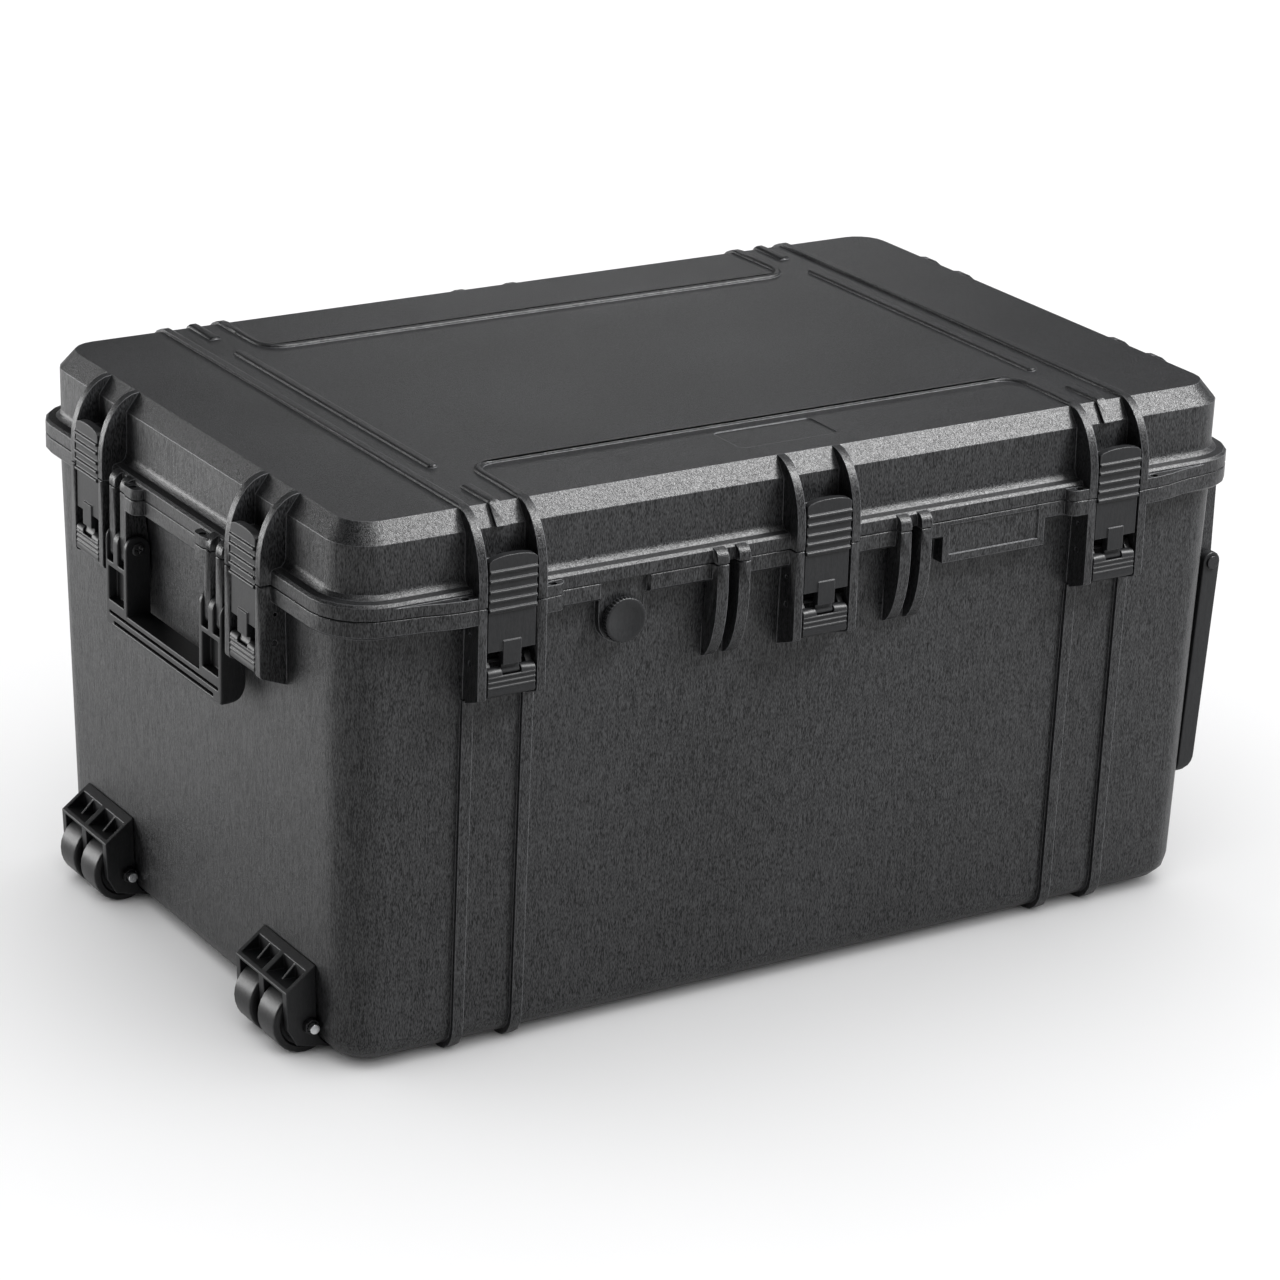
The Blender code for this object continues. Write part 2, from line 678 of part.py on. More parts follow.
def lid_cuts():
    cuts = ear_holes()
    cuts.append(rim_ring(GROOVE_OUT, GROOVE_IN, LID_Z - 0.002, LID_Z + GROOVE_DEPTH))
    for along in HINGE_STATIONS:
        bore = rod((-HINGE_OUT, HINGE_Z), HINGE_PIN_RADIUS + BORE_GAP, -0.03, 0.03)
        cuts.append(moved(bore, station("back", along)))
    plate = shifted(rounded_rectangle(PLATE_HALF_X, PLATE_HALF_Y, 0.005), (0.0, PLATE_Y))
    cuts.append(slab(plate, LID_TOP_Z - PLATE_DEPTH, LID_TOP_Z + 0.001, "XY"))
    return cuts


# ---------------------------------------------------------------- latches
def claw_mesh():
    """Upper latch piece: ribbed thumb plate with a crown, and a tongue down to its pin."""
    face = [(LATCH_HALF, 0.329), (LATCH_HALF, CROWN_SIDE_Z)]
    swell = CROWN_Z - CROWN_SIDE_Z
    face += [(LATCH_HALF * math.cos(math.radians(angle)),
              CROWN_SIDE_Z + swell * math.sin(math.radians(angle))) for angle in (30, 55, 75)]
    plate = slab(mirrored_across(face), -0.0080, -0.0035, "XZ")
    grip_face = [(LATCH_HALF, 0.359)] + face[1:]
    grip = slab(mirrored_across(grip_face), -0.0086, -0.0022, "XZ")
    bars = [rod((-0.0088, height), 0.0016, -LATCH_HALF, LATCH_HALF, sides=8) for height in GRIP_BARS]
    tongue = arc(CLAW_PIN, 0.003, 180, 360, 6) + [(-0.003, 0.330), (-0.0045, 0.337),
                                                  (-0.0092, 0.337), (-0.0092, 0.3185),
                                                  (-0.0062, 0.3180), (-0.0062, 0.3150)]
    tab = slab(tongue, -TAB_HALF, TAB_HALF, "YZ")
    bore = rod(CLAW_PIN, CLAW_PIN_RADIUS + BORE_GAP, -0.02, 0.02, sides=8)
    return combine(plate, joined=[grip, tab] + bars, cut=[bore])


def lever_mesh():
    """Lower latch piece: ribbed roll with two barrels for the claw's pin and two ears."""
    front = -0.0095
    ridges = []
    for height in (0.3095, 0.3055, 0.3015):
        ridges += [(front + 0.0008, height + 0.0012), (front, height + 0.0004),
                   (front, height - 0.0004), (front + 0.0008, height - 0.0012)]
    crown = arc((CLAW_PIN[0], 0.311), 0.005, 0, 180, 6)
    foot = arc((-0.0055, 0.2975), (0.004, 0.004), 180, 270, 3)
    roll = slab([(0.0005, 0.2935)] + crown + ridges + foot, -LATCH_HALF, LATCH_HALF, "YZ")
    ears = []
    for low, high in ((-LATCH_HALF, -0.0147), (0.0147, LATCH_HALF)):
        ear = arc(LATCH_PIN, 0.0032, -60, 150, 5) + [(-0.0045, 0.3145), (-0.004, 0.305)]
        ears.append(slab(ear, low, high, "YZ"))
    slot = block((-0.008, -0.0078, 0.3088), (0.008, 0.002, 0.325))
    mouth = block((-0.008, -0.011, 0.3106), (0.008, -0.007, 0.325))
    claw_bore = rod(CLAW_PIN, CLAW_PIN_RADIUS + BORE_GAP, -0.0192, 0.0192, sides=8)
    base_bore = rod(LATCH_PIN, LATCH_PIN_RADIUS + BORE_GAP, -0.021, 0.021, sides=10)
    return combine(roll, joined=ears, cut=[slot, mouth, claw_bore, base_bore])


def pin_mesh(radius, half, sides=10):
    return rod((0, 0), radius, -half, half, sides=sides)


# ---------------------------------------------------------------- handles
def carry_handle_mesh():
    """Moulded grip whose arms are slotted at the top to straddle the base's fingers."""
    face = [(CARRY_INNER, 0.3325), (CARRY_INNER, CARRY_GRIP_Z), (-CARRY_INNER, CARRY_GRIP_Z),
            (-CARRY_INNER, 0.3325), (-CARRY_HALF, 0.3325)]
    face += arc((-CARRY_HALF + 0.006, CARRY_LOW_Z + 0.006), 0.006, 180, 270, 3)
    face += arc((CARRY_HALF - 0.006, CARRY_LOW_Z + 0.006), 0.006, 270, 360, 3)
    face += [(CARRY_HALF, 0.3325)]
    front = CARRY_PIVOT[0] - CARRY_BOSS
    back = CARRY_PIVOT[0] + CARRY_BOSS
    profile = arc(CARRY_PIVOT, CARRY_BOSS, 0, 180, 10)
    profile += arc((front + 0.003, CARRY_LOW_Z + 0.003), 0.003, 180, 270, 2)
    profile += arc((front + 0.006, CARRY_LOW_Z + 0.017), (back - front - 0.006, 0.017), 280, 360, 5)
    whole = slab(face, front - 0.001, back + 0.001, "XZ")
    cuts = []
    for side in (-1, 1):
        for offset in (-TWIN_OFFSET, TWIN_OFFSET):
            middle = side * TWIN_CENTRE + offset
            cuts.append(block((middle - 0.0054, front - 0.01, CARRY_SLOT_Z),
                              (middle + 0.0054, back + 0.01, 0.34)))
        low, high = sorted((side * 0.0680, side * 0.0945))
        cuts.append(block((low, front - 0.01, 0.2715), (high, front + 0.0075, 0.2990)))
        low, high = sorted((side * (CARRY_INNER - 0.01), side * (CARRY_HALF + 0.01)))
        cuts.append(rod(CARRY_PIVOT, CARRY_PIN_RADIUS + BORE_GAP, low, high))
    for height, half in ((0.2615, 0.094), (0.2545, 0.086)):
        cuts.append(block((-half, front - 0.01, height - 0.0011), (half, front + 0.006, height + 0.0011)))
    bar = combine(whole, common=[slab(profile, -0.2, 0.2, "YZ")])
    return combine(bar, cut=cuts)


def carry_pin_mesh():
    """Pivot pin with a flat round head on the arm's inner side, towards +X of its frame."""
    shank = rod((0, 0), CARRY_PIN_RADIUS, 0.0, CARRY_HALF - CARRY_INNER - 0.001)
    head = rod((0, 0), 0.0052, -0.0015, -0.0003)
    neck = rod((0, 0), CARRY_PIN_RADIUS, -0.001, 0.001)
    return combine(shank, joined=[neck, head])


def pull_handle_mesh():
    """Wide bail that hangs along the drafted wall."""
    face = [(PULL_INNER, 0.30)]
    face += arc((PULL_INNER - 0.012, PULL_GRIP_Z + 0.012), 0.012, 0, -90, 4)
    outer = [(PULL_HALF, 0.30)] + arc((PULL_HALF - 0.010, PULL_LOW_Z + 0.010), 0.010, 0, -90, 4)
    whole = slab(mirrored_across(face) + mirrored_across(outer)[::-1], -0.03, 0.03, "XZ")
    lean = PULL_FOOT_Y - PULL_PIVOT[0] - PULL_END
    profile = arc(PULL_PIVOT, PULL_END, 0, 180, 8)
    foot_y = PULL_PIVOT[0] + lean
    profile += arc((foot_y - PULL_END + PULL_CORNER, PULL_LOW_Z + PULL_CORNER), PULL_CORNER, 180, 250, 5)
    profile += [(PULL_FOOT_Y, PULL_LOW_Z)]
    bar = combine(whole, common=[slab(profile, -0.3, 0.3, "YZ")])
    cuts = []
    for low in (-PULL_HALF - 0.001, PULL_INNER - 0.001):
        cuts.append(rod(PULL_PIVOT, PULL_PIN_RADIUS + BORE_GAP, low, low + 0.010))
    return combine(bar, cut=cuts)


def pull_pin_mesh():
    """Pivot pin with a domed head outside the arm, towards +X of its frame."""
    length = PULL_HALF - BRACKET_IN
    shank = rod((0, 0), PULL_PIN_RADIUS, -length, 0.001)
    head = rod((0, 0), 0.0055, GAP, 0.002)
    return combine(shank, joined=[head])


# ---------------------------------------------------------------- wheels
def housing_mesh():
    """Wheel housing: sloping hood, two cheeks and a web, shaped to the case's rounded edge."""
    bend_z = FLOOR_Z + EDGE_RADIUS
    clear = 0.0005
    turn = (-(RIM_HALF_X - wall_inset(bend_z) - EDGE_RADIUS), bend_z)
    wall_x = -(RIM_HALF_X - wall_inset(HOUSING_TOP_Z) + clear)
    edge = arc(turn, EDGE_RADIUS + clear, 180, 250, 4)
    outline = [(wall_x, HOUSING_TOP_Z), (HOOD_X, HOOD_Z), (-0.4124, 0.025), (-0.4047, 0.0115),
               (edge[-1][0], 0.0045)] + edge[::-1]
    whole = slab(outline, -HOUSING_HALF, HOUSING_HALF, "XZ")
    cuts = []
    for side in (-1, 1):
        low, high = sorted((side * 0.004, side * 0.035))
        cuts.append(block((-0.43, low, -0.01), (-0.36, high, HOOD_UNDER_Z)))
        low, high = sorted((side * 0.003, side * 0.0375))
        pocket = slab([(-0.4185, POCKET_Z), (POCKET_X, POCKET_Z), (POCKET_X, 0.09)], low, high, "XZ")
        gusset = slab([(-0.4085, POCKET_Z - 0.002), (POCKET_X + 0.001, POCKET_Z - 0.002),
                       (POCKET_X + 0.001, 0.0690)],
                      side * 0.0203 - 0.0013, side * 0.0203 + 0.0013, "XZ")
        cuts.append(combine(pocket, cut=[gusset]))
    cuts.append(rod((AXLE_X, AXLE_Z), AXLE_RADIUS + BORE_GAP, -0.05, 0.05, "XZ"))
    return combine(whole, cut=cuts)


def wheel_mesh():
    """Solid wheel with a flat tread, dished sides and a hub."""
    half = WHEEL_HALF
    bore = AXLE_RADIUS + BORE_GAP
    side = [(bore, half), (0.0095, half), (0.0105, half - 0.002), (0.0195, half - 0.002),
            (0.0205, half), (WHEEL_RADIUS - 0.0022, half), (WHEEL_RADIUS - 0.0006, half - 0.0008),
            (WHEEL_RADIUS, half - 0.0024)]
    mirrored = [(distance, -place) for distance, place in reversed(side)]
    return turned(side + mirrored, 28)


def axle_mesh():
    """Bolt with a round head at its +Y end, through both cheeks, wheels and web."""
    shank = rod((0, 0), AXLE_RADIUS, -HOUSING_HALF - 0.0090, HOUSING_HALF + 0.001, "XZ")
    head = rod((0, 0), 0.006, HOUSING_HALF + GAP, HOUSING_HALF + 0.004, "XZ")
    return combine(shank, joined=[head])


def nut_mesh():
    nut = rod((0, 0), 0.0065, -HOUSING_HALF - 0.0048, -HOUSING_HALF - GAP, "XZ", 6)
    bore = rod((0, 0), AXLE_RADIUS + BORE_GAP, -0.06, 0.06, "XZ")
    return combine(nut, cut=[bore])


# ---------------------------------------------------------------- valve
def valve_body_mesh():
    """Flange and spigot that seat the valve in the front wall."""
    flange = rod((0, 0), VALVE_FLANGE, PAD_Y - 0.0018, PAD_Y - GAP, "XZ", 24)
    spigot = rod((0, 0), VALVE_SPIGOT, PAD_Y - 0.001, 0.0200, "XZ", 24)
    stem = rod((0, 0), 0.003, PAD_Y - 0.0058, PAD_Y - 0.001, "XZ", 16)
    vent = rod((0, 0), 0.0015, 0.0120, 0.0210, "XZ", 12)
    return combine(flange, joined=[spigot, stem], cut=[vent])


def valve_cap_mesh():
    """Knurled knob that turns on the valve's stem."""
    teeth = 30
    outline = []
    for index in range(teeth * 2):
        radius = VALVE_RADIUS - (0.0008 if index % 2 else 0.0)
        angle = math.pi * index / teeth
        outline.append((radius * math.cos(angle), radius * math.sin(angle)))
    knob = slab(outline, PAD_Y - 0.0070, PAD_Y - 0.0022, "XZ")
    face = rod((0, 0), VALVE_RADIUS - 0.0022, PAD_Y - 0.0078, PAD_Y - 0.0060, "XZ", 24)
    bore = rod((0, 0), 0.003 + BORE_GAP, PAD_Y - 0.0062, PAD_Y, "XZ", 16)
    return combine(knob, joined=[face], cut=[bore])


# ---------------------------------------------------------------- assembly
def make_case():
    clear_scene()
    parts = bpy.data.collections.new("equipment_case")
    bpy.context.scene.collection.children.link(parts)
    root = bpy.data.objects.new("case_frame", None)
    parts.objects.link(root)
    root.location = (0, CASE_Y, 0)
    shell = make_material("textured_polypropylene", (0.030, 0.030, 0.032), 0.62)
    trim = make_material("smooth_polypropylene", (0.022, 0.022, 0.024), 0.45)
    rubber = make_material("black_rubber", (0.018, 0.018, 0.018), 0.85)
    tyre = make_material("grey_tyre", (0.045, 0.045, 0.048), 0.70)
    steel = make_material("zinc_plated_steel", (0.62, 0.62, 0.64), 0.30, 1.0)

    def place(name, mesh, material, frame=None):
        item = bpy.data.objects.new(name, mesh)
        item.parent = root
        item.matrix_basis = frame if frame else Matrix.Identity(4)
        if not mesh.materials:
            mesh.materials.append(material)
        mesh.shade_smooth()
        mesh.set_sharp_from_angle(angle=math.radians(28))
        parts.objects.link(item)

    def at(frame, centre):
        """Frame moved to a point (Y, Z) of a station's cross-section."""
        return frame @ Matrix.Translation((0, *centre))

    def about(mesh, centre):
        """Mesh drawn in a station's frame, with a point (Y, Z) made its origin."""
        return moved(mesh, Matrix.Translation((0, -centre[0], -centre[1])))

    place("base_shell", combine(base_skin(), joined=base_additions(), cut=base_cuts()), shell)
    place("lid_shell", combine(lid_skin(), joined=lid_additions(), cut=lid_cuts()), shell)
    seal = rim_ring(GROOVE_OUT + GAP, GROOVE_IN - GAP, LID_Z, LID_Z + GROOVE_DEPTH - GAP)
    place("lid_gasket", seal, rubber)

    hinge_pin = pin_mesh(HINGE_PIN_RADIUS, FIN_OUT - GAP, 16)
    for label, along in zip(("right", "middle", "left"), HINGE_STATIONS):
        hinge = at(station("back", along), (-HINGE_OUT, HINGE_Z))
        place("hinge_pin_" + label, hinge_pin, steel, hinge)

    claw = about(claw_mesh(), CLAW_PIN)
    lever = about(lever_mesh(), LATCH_PIN)
    latch_pin = pin_mesh(LATCH_PIN_RADIUS, FIN_OUT - GAP)
    claw_pin = pin_mesh(CLAW_PIN_RADIUS, 0.0188, 8)
    for name, frame in latch_frames().items():
        place("latch_claw_" + name, claw, trim, at(frame, CLAW_PIN))
        place("latch_lever_" + name, lever, trim, at(frame, LATCH_PIN))
        place("latch_pin_" + name, latch_pin, steel, at(frame, LATCH_PIN))
        place("claw_pin_" + name, claw_pin, steel, at(frame, CLAW_PIN))

    left = station("left")
    place("carry_handle", about(carry_handle_mesh(), CARRY_PIVOT), trim, at(left, CARRY_PIVOT))
    carry_pin = carry_pin_mesh()
    half_turn = Matrix.Rotation(math.pi, 4, "Z")
    to_inner = Matrix.Translation((CARRY_INNER, 0, 0))
    place("carry_handle_pin_front", carry_pin, steel, at(left, CARRY_PIVOT) @ to_inner)
    place("carry_handle_pin_rear", carry_pin, steel, at(left, CARRY_PIVOT) @ half_turn @ to_inner)

    right = station("right")
    place("pull_handle", about(pull_handle_mesh(), PULL_PIVOT), trim, at(right, PULL_PIVOT))
    pull_pin = pull_pin_mesh()
    to_outer = Matrix.Translation((PULL_HALF, 0, 0))
    place("pull_handle_pin_rear", pull_pin, steel, at(right, PULL_PIVOT) @ to_outer)
    place("pull_handle_pin_front", pull_pin, steel, at(right, PULL_PIVOT) @ half_turn @ to_outer)

    housing = housing_mesh()
    wheel = wheel_mesh()
    axle = axle_mesh()
    nut = nut_mesh()
    for label, middle in zip(("front", "rear"), WHEEL_SETS):
        place("wheel_housing_" + label, housing, trim, Matrix.Translation((0, middle, 0)))
        place("axle_bolt_" + label, axle, steel, Matrix.Translation((AXLE_X, middle, AXLE_Z)))
        place("axle_nut_" + label, nut, steel, Matrix.Translation((AXLE_X, middle, AXLE_Z)))
        for which, offset in (("outer", -WHEEL_OFFSET), ("inner", WHEEL_OFFSET)):
            hub = Matrix.Translation((AXLE_X, middle + offset, AXLE_Z))
            place(f"wheel_{label}_{which}", wheel, tyre, hub)

    valve = station("front") @ Matrix.Translation((VALVE_X, 0, VALVE_Z))
    place("valve_body", valve_body_mesh(), trim, valve)
    place("valve_cap", valve_cap_mesh(), trim, valve)


make_case()
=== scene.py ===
"""Looks of the hard equipment case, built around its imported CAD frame."""

import json
import math

import bmesh
import bpy
from mathutils import Matrix, Vector


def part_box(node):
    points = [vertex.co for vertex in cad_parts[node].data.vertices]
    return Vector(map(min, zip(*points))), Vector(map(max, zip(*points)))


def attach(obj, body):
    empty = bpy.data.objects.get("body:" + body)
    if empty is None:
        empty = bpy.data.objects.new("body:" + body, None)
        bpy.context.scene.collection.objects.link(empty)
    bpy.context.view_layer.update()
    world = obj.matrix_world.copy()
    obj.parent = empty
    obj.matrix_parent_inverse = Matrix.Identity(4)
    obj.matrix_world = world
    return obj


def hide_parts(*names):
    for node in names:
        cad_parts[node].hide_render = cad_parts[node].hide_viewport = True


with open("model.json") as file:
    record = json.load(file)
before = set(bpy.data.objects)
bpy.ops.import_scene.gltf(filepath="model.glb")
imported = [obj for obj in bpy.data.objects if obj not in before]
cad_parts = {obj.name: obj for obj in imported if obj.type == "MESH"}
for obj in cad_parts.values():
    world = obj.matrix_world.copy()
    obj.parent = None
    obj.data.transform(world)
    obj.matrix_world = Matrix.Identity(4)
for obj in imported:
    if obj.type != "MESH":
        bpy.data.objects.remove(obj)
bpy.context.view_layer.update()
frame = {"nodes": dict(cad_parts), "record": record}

# The view: a long lens from the front left, a little above the lid.
CAMERA_AT = Vector((-1.7471, -2.7926, 1.4395))
AZIMUTH = math.radians(-32.191)
ELEVATION = math.radians(20.674)
ROLL = math.radians(1.828)
LENS_MM = 122.2
SENSOR_MM = 36.0

# Bevels on moulded edges, in metres. A shell is bevelled only along its parting lip and on top of
# the lid's ridges; its material rounds the other edges.
SMALL_EDGE = 0.0004
EDGE_WIDTH = {"carry_handle": 0.0009, "pull_handle": 0.0012}
SHELL_EDGE = 0.0022
PARTING = {"base_shell": 0.3636, "lid_shell": 0.3639}
PARTING_SHARE = 0.45
RIDGE_TOP = 0.4335
SAME_HEIGHT = 2e-5
SAME_POINT = 2e-6

# How far a face's normal points up or down: more than the first is level, less than the second upright.
LEVEL = 0.9
UPRIGHT = 0.3

# Edges that turn by more degrees than this stay sharp.
SHARP_FROM = 32.0
SCREW_SHARP_FROM = 35.0
KNOB_SHARP_FROM = 50.0

# The valve's knob and the carry handle's screws, in metres.
KNURLS = 36
STEPS_PER_KNURL = 8
KNURL_SHARE = 0.06
SCREW_HEAD = 0.0012
SCREW_RECESS = 0.0009
SHANK_RADIUS = 0.0026

# Nodes that are dark steel, and nodes that a turned piece stands for.
DARK_PINS = ("claw_pin", "latch_pin", "pull_handle_pin", "hinge_pin", "axle_nut")
SPECIAL = ("valve_cap", "carry_handle_pin_front", "carry_handle_pin_rear")

# Noise scales per metre along x, y and z: a low z scale stretches the grain upright.
STREAK = (1500.0, 1500.0, 340.0)
FIBRE = (620.0, 620.0, 70.0)
PEBBLE = (1900.0, 1900.0, 1100.0)
CLOUD = (7.0, 7.0, 3.0)
BRUSHED = (900.0, 900.0, 900.0)
SPANGLE = (160.0, 160.0, 160.0)
OXIDE = (1100.0, 1100.0, 1100.0)
FLOOR_CLOUD = (2.0, 2.0, 2.0)

# Rounding by shading, in metres, and the normals' agreement where the paler edges (wear, and on plastic
# also painted highlight) start and are full.
PLASTIC_ROUNDING = 0.0009
ZINC_ROUNDING = 0.0005
STEEL_ROUNDING = 0.0004
WEAR_AND_HIGHLIGHT_STARTS = 0.998
WEAR_AND_HIGHLIGHT_FULL = 0.93
METAL_GRAIN = 0.00003
FLOOR_GRAIN = 0.0001

FLOOR_REACH = 30.0
WORLD_STRENGTH = 0.12


# ---------------------------------------------------------------- materials
class Shader:
    """A node material under construction, with one Principled shader."""

    def __init__(self, name):
        self.material = bpy.data.materials.new(name)
        self.material.use_nodes = True
        self.nodes = self.material.node_tree.nodes
        self.links = self.material.node_tree.links
        self.shader = self.nodes["Principled BSDF"]
        self.coordinates = self.nodes.new("ShaderNodeTexCoord")

    def link(self, source, target):
        self.links.new(source, target)

    def stretched(self, scale):
        mapping = self.nodes.new("ShaderNodeMapping")
        mapping.inputs["Scale"].default_value = scale
        self.link(self.coordinates.outputs["Object"], mapping.inputs["Vector"])
        return mapping.outputs["Vector"]

    def noise(self, scale, detail, roughness):
        node = self.nodes.new("ShaderNodeTexNoise")
        node.inputs["Scale"].default_value = 1.0
        node.inputs["Detail"].default_value = detail
        node.inputs["Roughness"].default_value = roughness
        self.link(self.stretched(scale), node.inputs["Vector"])
        return node.outputs["Fac"]

    def ramp(self, source, low, high, start, stop):
        """Low to high in the source becomes start to stop, and no further."""
        node = self.nodes.new("ShaderNodeMapRange")
        node.inputs["From Min"].default_value = low
        node.inputs["From Max"].default_value = high
        node.inputs["To Min"].default_value = start
        node.inputs["To Max"].default_value = stop
        self.link(source, node.inputs["Value"])
        return node.outputs["Result"]

    def maths(self, operation, first, second):
        node = self.nodes.new("ShaderNodeMath")
        node.operation = operation
        for socket, value in zip(node.inputs, (first, second)):
            if isinstance(value, (int, float)):
                socket.default_value = value
            else:
                self.link(value, socket)
        return node.outputs["Value"]

    def mix(self, factor, first, second):
        node = self.nodes.new("ShaderNodeMix")
        node.data_type = "RGBA"
        self.link(factor, node.inputs["Factor"])
        for key, value in (("A", first), ("B", second)):
            socket = [s for s in node.inputs if s.name == key and s.type == "RGBA"][0]
            if isinstance(value, tuple):
                socket.default_value = (*value, 1.0)
            else:
                self.link(value, socket)
        return [s for s in node.outputs if s.type == "RGBA"][0]

    def rounding(self, radius):
        """The surface normal with every edge rounded off."""
        bevel = self.nodes.new("ShaderNodeBevel")
        bevel.samples = 8
        bevel.inputs["Radius"].default_value = radius
        return bevel.outputs["Normal"]

    def edges(self, rounded):
        """1 where the surface turns over a convex or concave edge, else 0."""
        geometry = self.nodes.new("ShaderNodeNewGeometry")
        dot = self.nodes.new("ShaderNodeVectorMath")
        dot.operation = "DOT_PRODUCT"
        self.link(rounded, dot.inputs[0])
        self.link(geometry.outputs["Normal"], dot.inputs[1])
        return self.ramp(dot.outputs["Value"], WEAR_AND_HIGHLIGHT_STARTS, WEAR_AND_HIGHLIGHT_FULL, 0.0, 1.0)

    def bump(self, height, distance, rounded=None):
        node = self.nodes.new("ShaderNodeBump")
        node.inputs["Distance"].default_value = distance
        self.link(height, node.inputs["Height"])
        if rounded is not None:
            self.link(rounded, node.inputs["Normal"])
        return node.outputs["Normal"]

    def finish(self, colour, roughness, normal, **constants):
        self.link(colour, self.shader.inputs["Base Color"])
        self.link(roughness, self.shader.inputs["Roughness"])
        self.link(normal, self.shader.inputs["Normal"])
        for name, value in constants.items():
            self.shader.inputs[name.replace("_", " ")].default_value = value
        return self.material


def moulded_plastic(name, dark, light, rough, grain, streaks, wear_and_highlight, shine):
    """Moulded plastic or rubber: upright grain, cloudy tone, and paler edges, partly rubbed wear and
    partly painted highlight.

    A noise stays mostly between 0.35 and 0.65, and the ramps stretch about that range.
    """
    s = Shader(name)
    streak = s.noise(STREAK, detail=1.8, roughness=0.5)
    fibre = s.noise(FIBRE, detail=2.5, roughness=0.55)
    pebble = s.noise(PEBBLE, detail=1.5, roughness=0.5)
    cloud = s.noise(CLOUD, detail=3.0, roughness=0.6)
    fine_tone = s.ramp(streak, 0.37, 0.63, -streaks, streaks)
    broad_tone = s.ramp(cloud, 0.35, 0.65, 0.40, 0.60)
    base = s.mix(s.maths("ADD", fine_tone, broad_tone), dark, light)
    rounded = s.rounding(PLASTIC_ROUNDING)
    # Paler edges: partly rubbed wear, partly a painted highlight where the edges would catch the light.
    edge = s.maths("MULTIPLY", s.edges(rounded), s.ramp(pebble, 0.35, 0.65, 0.5 * wear_and_highlight, wear_and_highlight))
    worn_and_highlit = tuple(4.0 * c + 0.03 for c in light)
    colour = s.mix(edge, base, worn_and_highlit)
    roughness = s.ramp(s.maths("ADD", streak, pebble), 0.7, 1.3, rough - 0.07, rough + 0.07)
    height = s.maths("ADD", streak, s.maths("MULTIPLY", pebble, 0.6))
    dull = (1.0 - 0.85 * streaks) * shine
    glossy = (1.0 + 0.85 * streaks) * shine
    sheen = s.ramp(s.maths("ADD", streak, fibre), 0.80, 1.20, dull, glossy)
    s.link(sheen, s.shader.inputs["Specular IOR Level"])
    return s.finish(colour, roughness, s.bump(height, grain, rounded))


def make_materials():
    """Each material under the name that its pieces ask for."""
    return {
        "shell": moulded_plastic(
            "case_textured_plastic", dark=(0.0012, 0.0012, 0.0014), light=(0.0225, 0.0230, 0.0245),
            rough=0.40, grain=0.00022, streaks=0.5, wear_and_highlight=0.85, shine=0.35,
        ),
        "trim": moulded_plastic(
            "case_satin_plastic", dark=(0.008, 0.0083, 0.009), light=(0.013, 0.0133, 0.0142),
            rough=0.42, grain=0.00003, streaks=0.15, wear_and_highlight=1.0, shine=0.24,
        ),
        "seal": moulded_plastic(
            "case_seal_rubber", dark=(0.012, 0.012, 0.012), light=(0.018, 0.018, 0.018),
            rough=0.7, grain=0.0001, streaks=0.2, wear_and_highlight=0.1, shine=0.35,
        ),
        "tyre": moulded_plastic(
            "case_wheel_rubber", dark=(0.011, 0.011, 0.0115), light=(0.017, 0.017, 0.018),
            rough=0.36, grain=0.00003, streaks=0.2, wear_and_highlight=0.6, shine=0.20,
        ),
        "zinc": zinc_metal("case_zinc_steel"),
        "black_steel": dark_metal("case_black_steel"),
    }


def zinc_metal(name):
    """Bright plated steel with faint crystals."""
    s = Shader(name)
    fine = s.noise(BRUSHED, detail=3.0, roughness=0.6)
    spangle = s.noise(SPANGLE, detail=2.0, roughness=0.5)
    base = s.mix(s.ramp(spangle, 0.35, 0.65, 0.0, 1.0), (0.52, 0.53, 0.54), (0.66, 0.67, 0.68))
    rounded = s.rounding(ZINC_ROUNDING)
    colour = s.mix(s.maths("MULTIPLY", s.edges(rounded), 0.5), base, (0.8, 0.8, 0.8))
    roughness = s.ramp(fine, 0.3, 0.7, 0.24, 0.4)
    return s.finish(colour, roughness, s.bump(fine, METAL_GRAIN, rounded), Metallic=1.0)


def dark_metal(name):
    """Blackened steel, bare on its edges."""
    s = Shader(name)
    fine = s.noise(OXIDE, detail=3.0, roughness=0.6)
    base = s.mix(s.ramp(fine, 0.35, 0.65, 0.0, 1.0), (0.012, 0.012, 0.013), (0.030, 0.030, 0.032))
    rounded = s.rounding(STEEL_ROUNDING)
    colour = s.mix(s.maths("MULTIPLY", s.edges(rounded), 0.6), base, (0.22, 0.22, 0.22))
    roughness = s.ramp(fine, 0.3, 0.7, 0.32, 0.48)
    return s.finish(colour, roughness, s.bump(fine, METAL_GRAIN, rounded), Metallic=0.6)


def floor_material():
    s = Shader("studio_floor")
    cloud = s.noise(FLOOR_CLOUD, detail=2.0, roughness=0.5)
    colour = s.mix(cloud, (0.88, 0.88, 0.885), (0.90, 0.90, 0.905))
    return s.finish(colour, s.ramp(cloud, 0.3, 0.7, 0.6, 0.7), s.bump(cloud, FLOOR_GRAIN))


# ------------------------------------------------------------------- pieces
def cleaned_copy(node):
    """A copy of a CAD node's mesh with the points that lie on each other joined."""
    mesh = bpy.data.objects[node].data.copy()
    work = bmesh.new()
    work.from_mesh(mesh)
    bmesh.ops.remove_doubles(work, verts=work.verts[:], dist=SAME_POINT)
    work.to_mesh(mesh)
    work.free()
    return mesh


def smooth_by_angle(mesh, degrees):
    """Smooth shading, with the edges that turn further kept sharp."""
    mesh.shade_smooth()
    work = bmesh.new()
    work.from_mesh(mesh)
    for edge in work.edges:
        edge.smooth = len(edge.link_faces) != 2 or edge.calc_face_angle() < math.radians(degrees)
    work.to_mesh(mesh)
    work.free()


